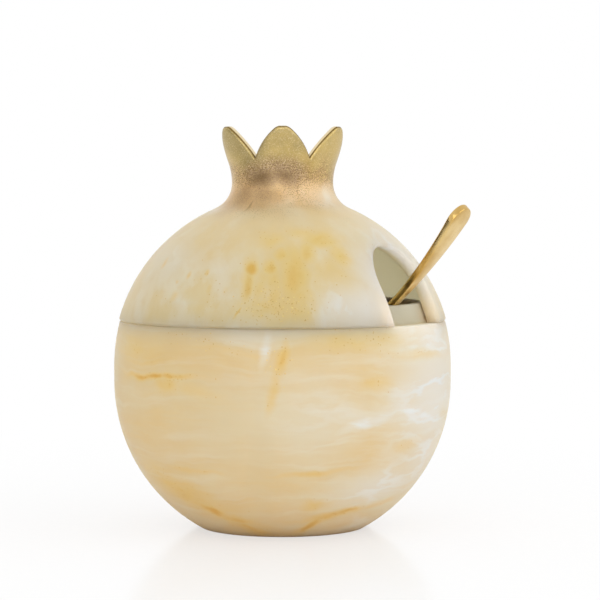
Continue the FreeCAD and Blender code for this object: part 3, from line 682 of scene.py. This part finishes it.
def geometry_tree(name: str, sizes: dict[str, str]) -> tuple[Wiring, NodeOutputs, Node]:
    """Starts a Geometry Nodes tree with named inputs.

    Args:
        name: The tree's name.
        sizes: The type of socket for each named input.

    Returns:
        The wiring, the group's inputs by name and its output node.
    """
    tree: GeometryNodeTree = bpy.data.node_groups.new(name, "GeometryNodeTree")
    tree.interface.new_socket("Geometry", in_out="INPUT", socket_type="NodeSocketGeometry")
    for label, kind in sizes.items():
        tree.interface.new_socket(label, in_out="INPUT", socket_type=f"NodeSocket{kind}")
    tree.interface.new_socket("Geometry", in_out="OUTPUT", socket_type="NodeSocketGeometry")
    wiring = Wiring(tree)
    return wiring, wiring.add("NodeGroupInput").outputs, wiring.add("NodeGroupOutput")


def close_tree(wiring: Wiring, geometry: NodeSocket, given: NodeOutputs, result: Node) -> None:
    """Ends a tree in plain faces with the material of its Material input.

    Args:
        wiring: The tree's wiring.
        geometry: What the tree has made.
        given: The group's inputs by name.
        result: The group's output node.
    """
    plain = wiring.add("GeometryNodeRealizeInstances", {"Geometry": geometry}).outputs[0]
    inputs = {"Geometry": plain, "Material": given["Material"]}
    dressed = wiring.add("GeometryNodeSetMaterial", inputs).outputs[0]
    wiring.feed(result.inputs[0], dressed)


def lathe_tree() -> GeometryNodeTree:
    """Builds the tree that turns a section round the upright axis, with the slight waves of a casting.

    Returns:
        The tree, with the inputs Segments, Wave Depth, Waves Per Metre, Seed and Material.
    """
    sizes = {
        "Segments": "Int",
        "Wave Depth": "Float",
        "Waves Per Metre": "Float",
        "Seed": "Float",
        "Material": "Material",
    }
    wiring, given, result = geometry_tree("lathe", sizes)
    section = given["Geometry"]
    extent = wiring.add("GeometryNodeAttributeDomainSize", {"Geometry": section}, component="MESH")
    rows = extent.outputs["Point Count"]
    columns = wiring.number("ADD", given["Segments"], 1)
    counts = {"Vertices X": columns, "Vertices Y": rows}
    grid = wiring.add("GeometryNodeMeshGrid", counts).outputs["Mesh"]

    index = wiring.add("GeometryNodeInputIndex").outputs[0]
    row = wiring.number("MODULO", index, rows)
    column = wiring.number("FLOOR", wiring.number("DIVIDE", index, rows))
    turn = wiring.number("DIVIDE", wiring.times(column, math.tau), given["Segments"])
    place = wiring.add("GeometryNodeInputPosition").outputs[0]
    sample = wiring.add(
        "GeometryNodeSampleIndex",
        {"Geometry": section, "Value": place, "Index": row},
        data_type="FLOAT_VECTOR",
        domain="POINT",
    )
    turning = {"Vector": sample.outputs[0], "Angle": turn}
    turned = wiring.add("ShaderNodeVectorRotate", turning, rotation_type="Z_AXIS")
    placing = {"Geometry": grid, "Position": turned.outputs[0]}
    form = wiring.add("GeometryNodeSetPosition", placing).outputs[0]
    closing = {"Geometry": form, "Distance": MERGE_DISTANCE}
    form = wiring.add("GeometryNodeMergeByDistance", closing).outputs[0]

    wave_inputs = {
        "Vector": place,
        "W": given["Seed"],
        "Scale": given["Waves Per Metre"],
        "Detail": 1.0,
    }
    waves = wiring.add("ShaderNodeTexNoise", wave_inputs, noise_dimensions="4D").outputs[0]
    depth = wiring.times(wiring.times(waves, given["Wave Depth"]), -1.0)
    normal = wiring.add("GeometryNodeInputNormal").outputs[0]
    push = {0: normal, "Scale": depth}
    scaled = wiring.add("ShaderNodeVectorMath", push, operation="SCALE").outputs[0]
    form = wiring.add("GeometryNodeSetPosition", {"Geometry": form, "Offset": scaled}).outputs[0]
    form = wiring.add("GeometryNodeSetShadeSmooth", {"Geometry": form}).outputs[0]
    close_tree(wiring, form, given, result)
    return wiring.tree


def fleck_tree() -> GeometryNodeTree:
    """Builds the tree that strews gold flecks over the part of a surface round one place.

    Returns:
        The tree, with the inputs Middle, Reach, Per Square Metre, Fleck Size, Seed and Material.
    """
    sizes = {
        "Middle": "Vector",
        "Reach": "Vector",
        "Per Square Metre": "Float",
        "Fleck Size": "Float",
        "Seed": "Int",
        "Material": "Material",
    }
    wiring, given, result = geometry_tree("flecks", sizes)
    place = wiring.add("GeometryNodeInputPosition").outputs[0]
    away = wiring.vector("SUBTRACT", place, given["Middle"])
    share = wiring.vector("LENGTH", wiring.vector("DIVIDE", away, given["Reach"]))
    inputs = {"Value": share, "From Min": 0.0, "From Max": 1.0, "To Min": 1.0, "To Max": 0.0}
    nearness = wiring.add("ShaderNodeMapRange", inputs).outputs[0]
    density = wiring.times(nearness, given["Per Square Metre"])
    strewn = wiring.add(
        "GeometryNodeDistributePointsOnFaces",
        {"Mesh": given["Geometry"], "Density": density, "Seed": given["Seed"]},
    )
    fleck = wiring.add(
        "GeometryNodeMeshIcoSphere", {"Radius": given["Fleck Size"], "Subdivisions": 1}
    ).outputs["Mesh"]
    size_share = wiring.add(
        "FunctionNodeRandomValue",
        {"Min": SMALLEST_FLECK, "Max": LARGEST_FLECK, "Seed": given["Seed"]},
        data_type="FLOAT_VECTOR",
    ).outputs[0]
    spread = wiring.add(
        "GeometryNodeInstanceOnPoints",
        {
            "Points": strewn.outputs["Points"],
            "Instance": fleck,
            "Rotation": strewn.outputs["Rotation"],
            "Scale": size_share,
        },
    ).outputs[0]
    close_tree(wiring, spread, given, result)
    return wiring.tree


def new_object(name: str, data: bpy.types.ID) -> Object:
    """Puts a mesh, a lamp or a camera into the scene.

    Args:
        name: The new object's name.
        data: What it shows.

    Returns:
        The object, at the origin.
    """
    piece = bpy.data.objects.new(name, data)
    bpy.context.scene.collection.objects.link(piece)
    return piece


def grow(name: str, base: bpy.types.Mesh, tree: GeometryNodeTree, inputs: dict[str, Value]) -> Object:
    """Runs a Geometry Nodes tree on a mesh and keeps the plain result.

    Args:
        name: The new piece's name.
        base: The mesh that the tree starts from.
        tree: The tree.
        inputs: The values of its named inputs.

    Returns:
        The piece, at the origin, with no modifier.
    """
    piece = new_object(name, base)
    modifier = piece.modifiers.new(tree.name, "NODES")
    modifier.node_group = tree
    for item in tree.interface.items_tree:
        if item.in_out == "INPUT" and item.name in inputs:
            modifier[item.identifier] = inputs[item.name]
    piece.update_tag()
    graph = bpy.context.evaluated_depsgraph_get()
    mesh = bpy.data.meshes.new_from_object(piece.evaluated_get(graph), depsgraph=graph)
    piece.modifiers.clear()
    piece.data = mesh
    mesh.name = name
    return piece


def copy_of_node(node: str, name: str, sharp_angle: float) -> Object:
    """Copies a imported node, joins its loose triangles and smooths its shading.

    Args:
        node: The node's name.
        name: The new piece's name.
        sharp_angle: Edges that bend more than this stay sharp.

    Returns:
        The piece.
    """
    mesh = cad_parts[node].data.copy()
    mesh.name = name
    form = bmesh.new()
    form.from_mesh(mesh)
    bmesh.ops.remove_doubles(form, verts=form.verts, dist=MERGE_DISTANCE)
    form.to_mesh(mesh)
    form.free()
    mesh.materials.clear()
    mesh.polygons.foreach_set("use_smooth", [True] * len(mesh.polygons))
    mesh.set_sharp_from_angle(angle=sharp_angle)
    return new_object(name, mesh)


def report(piece: Object, body: str) -> None:
    """Says in the log what a finished piece is."""
    LOG.info("%s rides on %s with %d faces", piece.name, body, len(piece.data.polygons))


@dataclass
class Flecks:
    """Gold flecks strewn over one part of a casting, round an angle in degrees and a height."""

    name: str
    side: float
    height: float
    reach: Triple
    per_square_metre: float
    fleck_size: float
    seed: int

    def strew(self, base: Object, body: str, slot: str, radius: float, finish: Material) -> None:
        """Strews the flecks and makes them ride with the casting.

        Args:
            base: The casting that carries them.
            body: The body that they ride on.
            slot: The record's slot for their finish; not used.
            radius: Radius of the casting at their height.
            finish: Their material.
        """
        inputs = {
            "Middle": outward(math.radians(self.side)) * radius + Vector((0, 0, self.height)),
            "Reach": Vector(self.reach),
            "Per Square Metre": self.per_square_metre,
            "Fleck Size": self.fleck_size,
            "Seed": self.seed,
            "Material": finish,
        }
        piece = grow(self.name, base.data.copy(), fleck_tree(), inputs)
        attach(piece, body)
        report(piece, body)


BOWL_MARKS: MarkTable = {
    Tint.AMBER: (
        Mark(-47, 0.0520, 0.0288, 0.0017, 1.0, -1),
        Mark(-41, 0.0495, 0.0090, 0.0050, 0.75, -4),
        Mark(-30, 0.0475, 0.0168, 0.0036, 0.35, -10),
        Mark(-58, 0.0605, 0.0216, 0.0048, 0.45, -2),
        Mark(-52, 0.0565, 0.0192, 0.0019, 0.35),
        Mark(-45, 0.0150, 0.0312, 0.0090, 0.7, -26),
        Mark(-32, 0.0090, 0.0264, 0.0036, 0.9, -22),
        Mark(-18, 0.0035, 0.0120, 0.0036, 0.8, -24),
        Mark(-34, 0.0235, 0.0168, 0.0014, 0.4, -6),
        Mark(27, 0.0078, 0.0180, 0.0022, 0.85, 12),
        Mark(15, 0.0045, 0.0096, 0.0026, 0.9, 38),
        Mark(46, 0.0105, 0.0144, 0.0022, 0.6, 12),
        Mark(14, 0.0115, 0.0072, 0.0041, 0.6),
        Mark(11, 0.0228, 0.0168, 0.0016, 0.65, 6),
        Mark(32, 0.0503, 0.0102, 0.0036, 0.55, 4),
        Mark(48, 0.0305, 0.0108, 0.0034, 0.4, 14),
        Mark(0, 0.0590, 0.0031, 0.0096, 0.8, -14),
        Mark(-3, 0.0490, 0.0024, 0.0108, 0.65, -12),
        Mark(26, 0.0635, 0.0312, 0.0060, 0.55),
        Mark(52, 0.0580, 0.0240, 0.0022, 0.5, -6),
    ),
    Tint.MILK: (
        Mark(60, 0.0480, 0.0380, 0.0420, 0.9),
        Mark(42, 0.0180, 0.0300, 0.0150, 0.65, 12),
        Mark(64, 0.0280, 0.0300, 0.0220, 0.7),
        Mark(30, 0.0385, 0.0220, 0.0035, 0.8, 16),
        Mark(48, 0.0420, 0.0160, 0.0035, 0.9),
        # Painted light: the next two marks are a broad lighter patch right of the middle and a thin pale
        # line down the front.
        Mark(15, 0.0400, 0.0300, 0.0280, 0.3),
        Mark(-5.8, 0.0615, 0.0024, 0.0090, 0.6, -10),
    ),
    # Painted shade: a thin darker line down the front and a broad darker patch to its left.
    Tint.PAINTED_SHADE: (
        Mark(-8, 0.0330, 0.0080, 0.0400, 0.4),
        Mark(-20, 0.0400, 0.0300, 0.0260, 0.4),
    ),
    Tint.SPECKS: (
        Mark(-30, 0.0635, 0.0220, 0.0028, 0.5),
        Mark(-12, 0.0605, 0.0120, 0.0030, 0.4),
        Mark(0, 0.0600, 0.0040, 0.0060, 0.6, -12),
        Mark(-38, 0.0512, 0.0160, 0.0030, 0.5),
    ),
}


@dataclass
class Bowl:
    """The bowl: a turned casting with a foot, a ledge for the lid, a lip and a honey well."""

    radius: float = 0.0550
    foot_radius: float = 0.0267
    belt_height: float = 0.0051
    seam_rise: float = 0.0144
    wall: float = 0.0070
    floor: float = 0.0080
    floor_round: float = 0.0120
    foot_round: float = 0.0012
    ledge_round: float = 0.0006
    lip_radius: float = 0.05055
    lip_height: float = 0.0062
    lip_round: float = 0.0009
    arc_step: float = math.radians(3)
    segments: int = 240
    wave_depth: float = 0.00012
    waves_per_metre: float = 45.0
    wave_seed: float = 4.0
    stretch: Triple = (0.8, 0.8, 2.8)
    resin_seed: float = 1.0
    body: str = "bowl"
    slot: str = "bowl_resin"
    flecks: tuple[Flecks, ...] = (
        Flecks("bowl_flecks_left", -26, 0.0635, (0.016, 0.016, 0.0030), 2.2e5, 0.00026, 11),
        Flecks("bowl_flecks_front", -1, 0.0560, (0.005, 0.005, 0.0090), 4.0e5, 0.00026, 12),
        Flecks("bowl_flecks_right", 26, 0.0620, (0.018, 0.018, 0.0080), 1.0e5, 0.00024, 13),
    )

    @property
    def low_centre(self) -> float:
        """Height of the centre of the lower half sphere."""
        return across(self.radius, self.foot_radius)

    @property
    def high_centre(self) -> float:
        """Height of the centre of the upper half sphere."""
        return self.low_centre + self.belt_height

    def section(self) -> Section:
        """Draws half of the bowl's section, from the foot over the lip to the floor of the well.

        Returns:
            The section.
        """
        low, high = self.low_centre, self.high_centre
        seam = high + self.seam_rise
        lip_start = math.asin(self.seam_rise / self.lip_radius)
        lip_middle = seam + self.lip_height - self.lip_round
        inside = self.radius - self.wall
        down, up = -math.pi / 2, math.pi / 2
        section = Section(self.arc_step)

        section.point(0.0, 0.0)
        foot, foot_angle = round_place(self.radius - self.foot_round, low, self.foot_round)
        section.arc(foot, self.foot_round, down, foot_angle)
        section.arc((0.0, low), self.radius, foot_angle, 0.0)
        ledge, ledge_angle = round_place(self.radius - self.ledge_round, high, seam - self.ledge_round)
        section.arc((0.0, high), self.radius, 0.0, ledge_angle)
        section.arc(ledge, self.ledge_round, ledge_angle, up)
        section.point(across(self.lip_radius, self.seam_rise), seam)
        outer, outer_angle = round_place(self.lip_radius - self.lip_round, high, lip_middle)
        section.arc((0.0, high), self.lip_radius, lip_start, outer_angle)
        section.arc(outer, self.lip_round, outer_angle, up)
        inner, inner_angle = round_place(inside + self.lip_round, high, lip_middle)
        section.arc(inner, self.lip_round, up, math.pi + inner_angle)
        section.arc((0.0, high), inside, inner_angle, 0.0)
        corner, corner_angle = round_place(inside - self.floor_round, low, self.floor + self.floor_round)
        section.arc((0.0, low), inside, 0.0, corner_angle)
        section.arc(corner, self.floor_round, corner_angle, down)
        section.point(0.0, self.floor)
        return section

    def finish(self) -> Material:
        """Makes the bowl's resin."""
        shape = (self.radius, self.low_centre, self.high_centre)
        return MarbledResin("bowl_resin", BOWL_MARKS, *shape, self.stretch, self.resin_seed).build()

    def build(self, fleck_finish: Material) -> None:
        """Turns the bowl, strews its flecks and makes them ride on their body.

        Args:
            fleck_finish: The material of the gold flecks.
        """
        points = self.section().points
        outline = bpy.data.meshes.new("bowl_section")
        outline.from_pydata(points, [(number, number + 1) for number in range(len(points) - 1)], [])
        inputs = {
            "Segments": self.segments,
            "Wave Depth": self.wave_depth,
            "Waves Per Metre": self.waves_per_metre,
            "Seed": self.wave_seed,
            "Material": self.finish(),
        }
        piece = grow("bowl_casting", outline, lathe_tree(), inputs)
        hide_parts("bowl")
        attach(piece, self.body)
        report(piece, self.body)
        for flecks in self.flecks:
            flecks.strew(piece, self.body, self.slot, self.radius, fleck_finish)


LID_MARKS: MarkTable = {
    Tint.AMBER: (
        Mark(-12.4, 0.0855, 0.0043, 0.0058, 1.0),
        Mark(-4.6, 0.0857, 0.0038, 0.0055, 1.0),
        Mark(-13.5, 0.0805, 0.0043, 0.0130, 0.8),
        Mark(-4.0, 0.0800, 0.0049, 0.0159, 0.8),
        Mark(-8.5, 0.0790, 0.0101, 0.0130, 0.6),
        Mark(-6, 0.0735, 0.0188, 0.0116, 0.65),
        Mark(-0.2, 0.0896, 0.0038, 0.0043, 0.8),
        Mark(-4.2, 0.0940, 0.0072, 0.0049, 0.5),
        Mark(10, 0.0965, 0.0087, 0.0032, 0.5),
        Mark(4.5, 0.0840, 0.0109, 0.0174, 0.75),
        Mark(7, 0.0755, 0.0094, 0.0130, 0.7),
        Mark(11.5, 0.0905, 0.0050, 0.0100, 0.75, -22),
        Mark(19.5, 0.0950, 0.0105, 0.0048, 0.8, 4),
        Mark(26.5, 0.0905, 0.0048, 0.0095, 0.7, 12),
        Mark(16, 0.0820, 0.0174, 0.0174, 0.3),
        Mark(-15.5, 0.0722, 0.0010, 0.0048, 0.8, -22),
        Mark(-39.4, 0.0836, 0.0018, 0.0026, 0.75, -10),
        Mark(-30.6, 0.0843, 0.0015, 0.0022, 0.75),
        Mark(-43.7, 0.0813, 0.0014, 0.0020, 0.6),
        Mark(-42.5, 0.0763, 0.0032, 0.0038, 0.6),
        Mark(-56.8, 0.0866, 0.0018, 0.0028, 0.55),
        Mark(-27.8, 0.0790, 0.0018, 0.0040, 0.45),
        Mark(-22.0, 0.0787, 0.0016, 0.0026, 0.45),
        Mark(-35, 0.0790, 0.0290, 0.0130, 0.22),
        Mark(-30, 0.0715, 0.0377, 0.0058, 0.3),
    ),
    Tint.MILK: (
        Mark(40, 0.0830, 0.0160, 0.0180, 0.7),
        Mark(64, 0.0850, 0.0260, 0.0260, 0.75),
        Mark(27, 0.0740, 0.0240, 0.0130, 0.85),
        Mark(-60, 0.0880, 0.0200, 0.0100, 0.3),
        Mark(50, 0.1075, 0.0130, 0.0090, 0.45),
    ),
    # Painted shade: the lid's left side and a band across its top front.
    Tint.PAINTED_SHADE: (
        Mark(-55, 0.0850, 0.0240, 0.0200, 0.45),
        Mark(-10, 0.1010, 0.0260, 0.0070, 0.4),
    ),
    Tint.SPECKS: (
        Mark(-5, 0.0755, 0.0140, 0.0090, 0.8),
        Mark(8, 0.0745, 0.0080, 0.0080, 0.6),
        Mark(-25, 0.0780, 0.0100, 0.0080, 0.2),
    ),
    # Darker brown patches on the neck's left side and at the crown's base.
    Tint.SMOKE: (
        Mark(-24, 0.1138, 0.0125, 0.0088, 1.0),
        Mark(-22, 0.1085, 0.0120, 0.0090, 0.65),
        Mark(-2, 0.1147, 0.0150, 0.0085, 0.95),
        Mark(-46, 0.1080, 0.0150, 0.0110, 0.7),
        Mark(-31, 0.1050, 0.0014, 0.0085, 0.7, -4),
    ),
    Tint.BARE: (
        Mark(52, 0.1080, 0.0110, 0.0075, 0.95),
    ),
}


@dataclass
class Lid:
    """The lid: a dome with a spoon notch and a gilded crown of petals."""

    radius: float = 0.0554
    high_centre: float = 0.0532
    sharp_angle: float = math.radians(40)
    stretch: Triple = (1.6, 1.6, 0.8)
    resin_seed: float = 7.0
    body: str = "lid"
    slot: str = "lid_resin"
    flecks: tuple[Flecks, ...] = (
        Flecks("lid_flecks_front", -4, 0.0755, (0.012, 0.012, 0.0080), 7.0e5, 0.00027, 21),
        Flecks("lid_flecks_right", 5, 0.0750, (0.008, 0.008, 0.0070), 7.0e5, 0.00027, 22),
    )

    def finish(self) -> Material:
        """Makes the lid's resin with its gold paint."""
        shape = (self.radius, self.high_centre, self.high_centre)
        return GildedResin("lid_resin", LID_MARKS, *shape, self.stretch, self.resin_seed).build()

    def build(self, fleck_finish: Material) -> None:
        """Dresses the lid, strews its flecks and makes them ride on their body.

        Args:
            fleck_finish: The material of the gold flecks.
        """
        piece = copy_of_node("lid", "lid_casting", self.sharp_angle)
        piece.data.materials.append(self.finish())
        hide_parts("lid")
        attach(piece, self.body)
        report(piece, self.body)
        for flecks in self.flecks:
            radius = across(self.radius, flecks.height - self.high_centre)
            flecks.strew(piece, self.body, self.slot, radius, fleck_finish)


@dataclass
class Spoon:
    """The spoon: thin stem, paddle handle and egg-shaped scoop."""

    sharp_angle: float = math.radians(40)
    body: str = "spoon"
    slot: str = "spoon_metal"

    def build(self) -> None:
        """Dresses the spoon and makes it ride on its body."""
        piece = copy_of_node("spoon", "honey_spoon", self.sharp_angle)
        piece.data.materials.append(PolishedGold().build())
        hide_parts("spoon")
        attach(piece, self.body)
        report(piece, self.body)


def card(name: str, corners: list[Triple], material: Material) -> Object:
    """Adds one flat card with four corners to the scene.

    Args:
        name: The card's name.
        corners: Its corners, in order.
        material: Its material.

    Returns:
        The card.
    """
    mesh = bpy.data.meshes.new(name)
    mesh.from_pydata(corners, [], [(0, 1, 2, 3)])
    mesh.materials.append(material)
    return new_object(name, mesh)


@dataclass(frozen=True)
class SoftBox:
    """One soft lamp that looks at the dish."""

    name: str
    place: Triple
    size: float
    watts: float


@dataclass
class Studio:
    """A pale floor, a grey card, white surroundings, soft lamps and the camera."""

    floor_half: float = 6.0
    look_at: Triple = (0.0, 0.0, 0.060)
    surround_light: float = 0.98
    floor_colour: Colour = (0.9, 0.9, 0.9, 1.0)
    floor_grain: Layer = Layer(300.0)
    floor_white: float = 0.62
    white_from: float = 0.06
    white_to: float = 0.32
    lamps: tuple[SoftBox, ...] = (
        SoftBox("key_lamp", (0.95, 0.10, 0.60), 0.9, 1.8),
        SoftBox("top_lamp", (0.05, 0.10, 1.20), 0.8, 0.1),
        SoftBox("fill_lamp", (0.45, -1.05, 0.30), 0.9, 2.6),
    )
    flag_place: Triple = (-0.62, -0.62, 0.15)
    flag_half: float = 0.20
    flag_weave: Layer = Layer(120.0)
    flag_dark: Colour = screen_colour(70, 64, 54)
    flag_light: Colour = screen_colour(84, 78, 66)
    camera_distance: float = 0.770
    camera_height: float = 0.110
    view_angle: float = math.radians(14.5)
    pitch: float = math.radians(-2.67)
    aim_right: float = 0.0057

    def floor(self) -> None:
        """Lays the floor, which fades to plain white away from the dish where the camera sees it."""
        half = self.floor_half
        corners = [(-half, -half, 0), (half, -half, 0), (half, half, 0), (-half, half, 0)]
        material, wiring = new_material("floor_white")
        place = wiring.place()
        grain = wiring.noise(place, self.floor_grain)
        roughness = wiring.ramp(grain, 0.3, 0.7, 0.13, 0.16)
        inputs = {"Base Color": self.floor_colour, "Roughness": roughness}
        shader = wiring.add("ShaderNodeBsdfPrincipled", inputs)
        glow = wiring.add("ShaderNodeEmission", {"Color": WHITE, "Strength": 1.0})
        seen = wiring.add("ShaderNodeLightPath").outputs["Is Camera Ray"]
        away = wiring.vector("LENGTH", place)
        white = wiring.ramp(away, self.white_from, self.white_to, self.floor_white, 1.0)
        share = wiring.times(seen, white)
        both = wiring.add("ShaderNodeMixShader", {0: share, 1: shader.outputs[0], 2: glow.outputs[0]})
        wiring.add("ShaderNodeOutputMaterial", {"Surface": both.outputs[0]})
        piece = card("floor", corners, material)

    def flag(self) -> None:
        """Stands a grey card out of the picture, for the shaded side and the gold to mirror."""
        half = self.flag_half
        corners = [(-half, 0, -half), (half, 0, -half), (half, 0, half), (-half, 0, half)]
        material, wiring = new_material("flag_grey")
        place = wiring.place()
        weave = wiring.noise(place, self.flag_weave)
        grey = wiring.mix(weave, self.flag_dark, self.flag_light)
        shader = wiring.add("ShaderNodeBsdfDiffuse", {"Color": grey})
        wiring.add("ShaderNodeOutputMaterial", {"Surface": shader.outputs[0]})
        piece = card("flag", corners, material)
        piece.location = self.flag_place
        piece.rotation_euler = (0, 0, math.atan2(self.flag_place[1], self.flag_place[0]) + math.pi / 2)
        piece.visible_camera = False

    def surroundings(self) -> None:
        """Makes the world white where it is seen or mirrored, and plain soft light elsewhere."""
        world = bpy.data.worlds.new("studio")
        world.use_nodes = True
        world.node_tree.nodes.clear()
        wiring = ShaderWiring(world.node_tree)
        path = wiring.add("ShaderNodeLightPath").outputs
        seen = path["Is Camera Ray"]
        for kind in ("Is Glossy Ray", "Is Transmission Ray"):
            seen = wiring.number("MAXIMUM", seen, path[kind])
        strength = wiring.mix(seen, self.surround_light, 1.0, Mixed.NUMBERS)
        light = wiring.add("ShaderNodeBackground", {"Color": WHITE, "Strength": strength})
        wiring.add("ShaderNodeOutputWorld", {"Surface": light.outputs[0]})
        bpy.context.scene.world = world

    def light(self) -> None:
        """Hangs the lamps."""
        for box in self.lamps:
            lamp = bpy.data.lights.new(box.name, "AREA")
            lamp.size = box.size
            lamp.energy = box.watts
            holder = new_object(box.name, lamp)
            holder.location = box.place
            direction = Vector(self.look_at) - Vector(box.place)
            holder.rotation_euler = direction.to_track_quat("-Z", "Y").to_euler()

    def camera(self) -> None:
        """Sets the camera where the photograph was taken from."""
        lens = bpy.data.cameras.new("camera")
        lens.sensor_fit = "HORIZONTAL"
        lens.angle = self.view_angle
        holder = new_object("camera", lens)
        back = outward(0.0)
        right = outward(math.pi / 2)
        holder.location = back * self.camera_distance + Vector((0, 0, self.camera_height))
        turn = math.atan(self.aim_right / self.camera_distance)
        aim = -back * math.cos(turn) + right * math.sin(turn)
        aim = aim * math.cos(self.pitch) + Vector((0, 0, math.sin(self.pitch)))
        holder.rotation_euler = aim.to_track_quat("-Z", "Y").to_euler()
        bpy.context.scene.camera = holder

    def build(self) -> None:
        """Sets up the whole studio."""
        bpy.context.scene.view_settings.view_transform = "Standard"
        self.floor()
        self.flag()
        self.surroundings()
        self.light()
        self.camera()
        LOG.info("studio with %d lamps", len(self.lamps))


def main() -> None:
    """Builds the dish and its studio."""
    logging.basicConfig(level=logging.INFO, format="%(message)s")
    fleck_finish = GoldFleck().build()
    Bowl().build(fleck_finish)
    Lid().build(fleck_finish)
    Spoon().build()
    Studio().build()


if __name__ == "__main__":
    main()
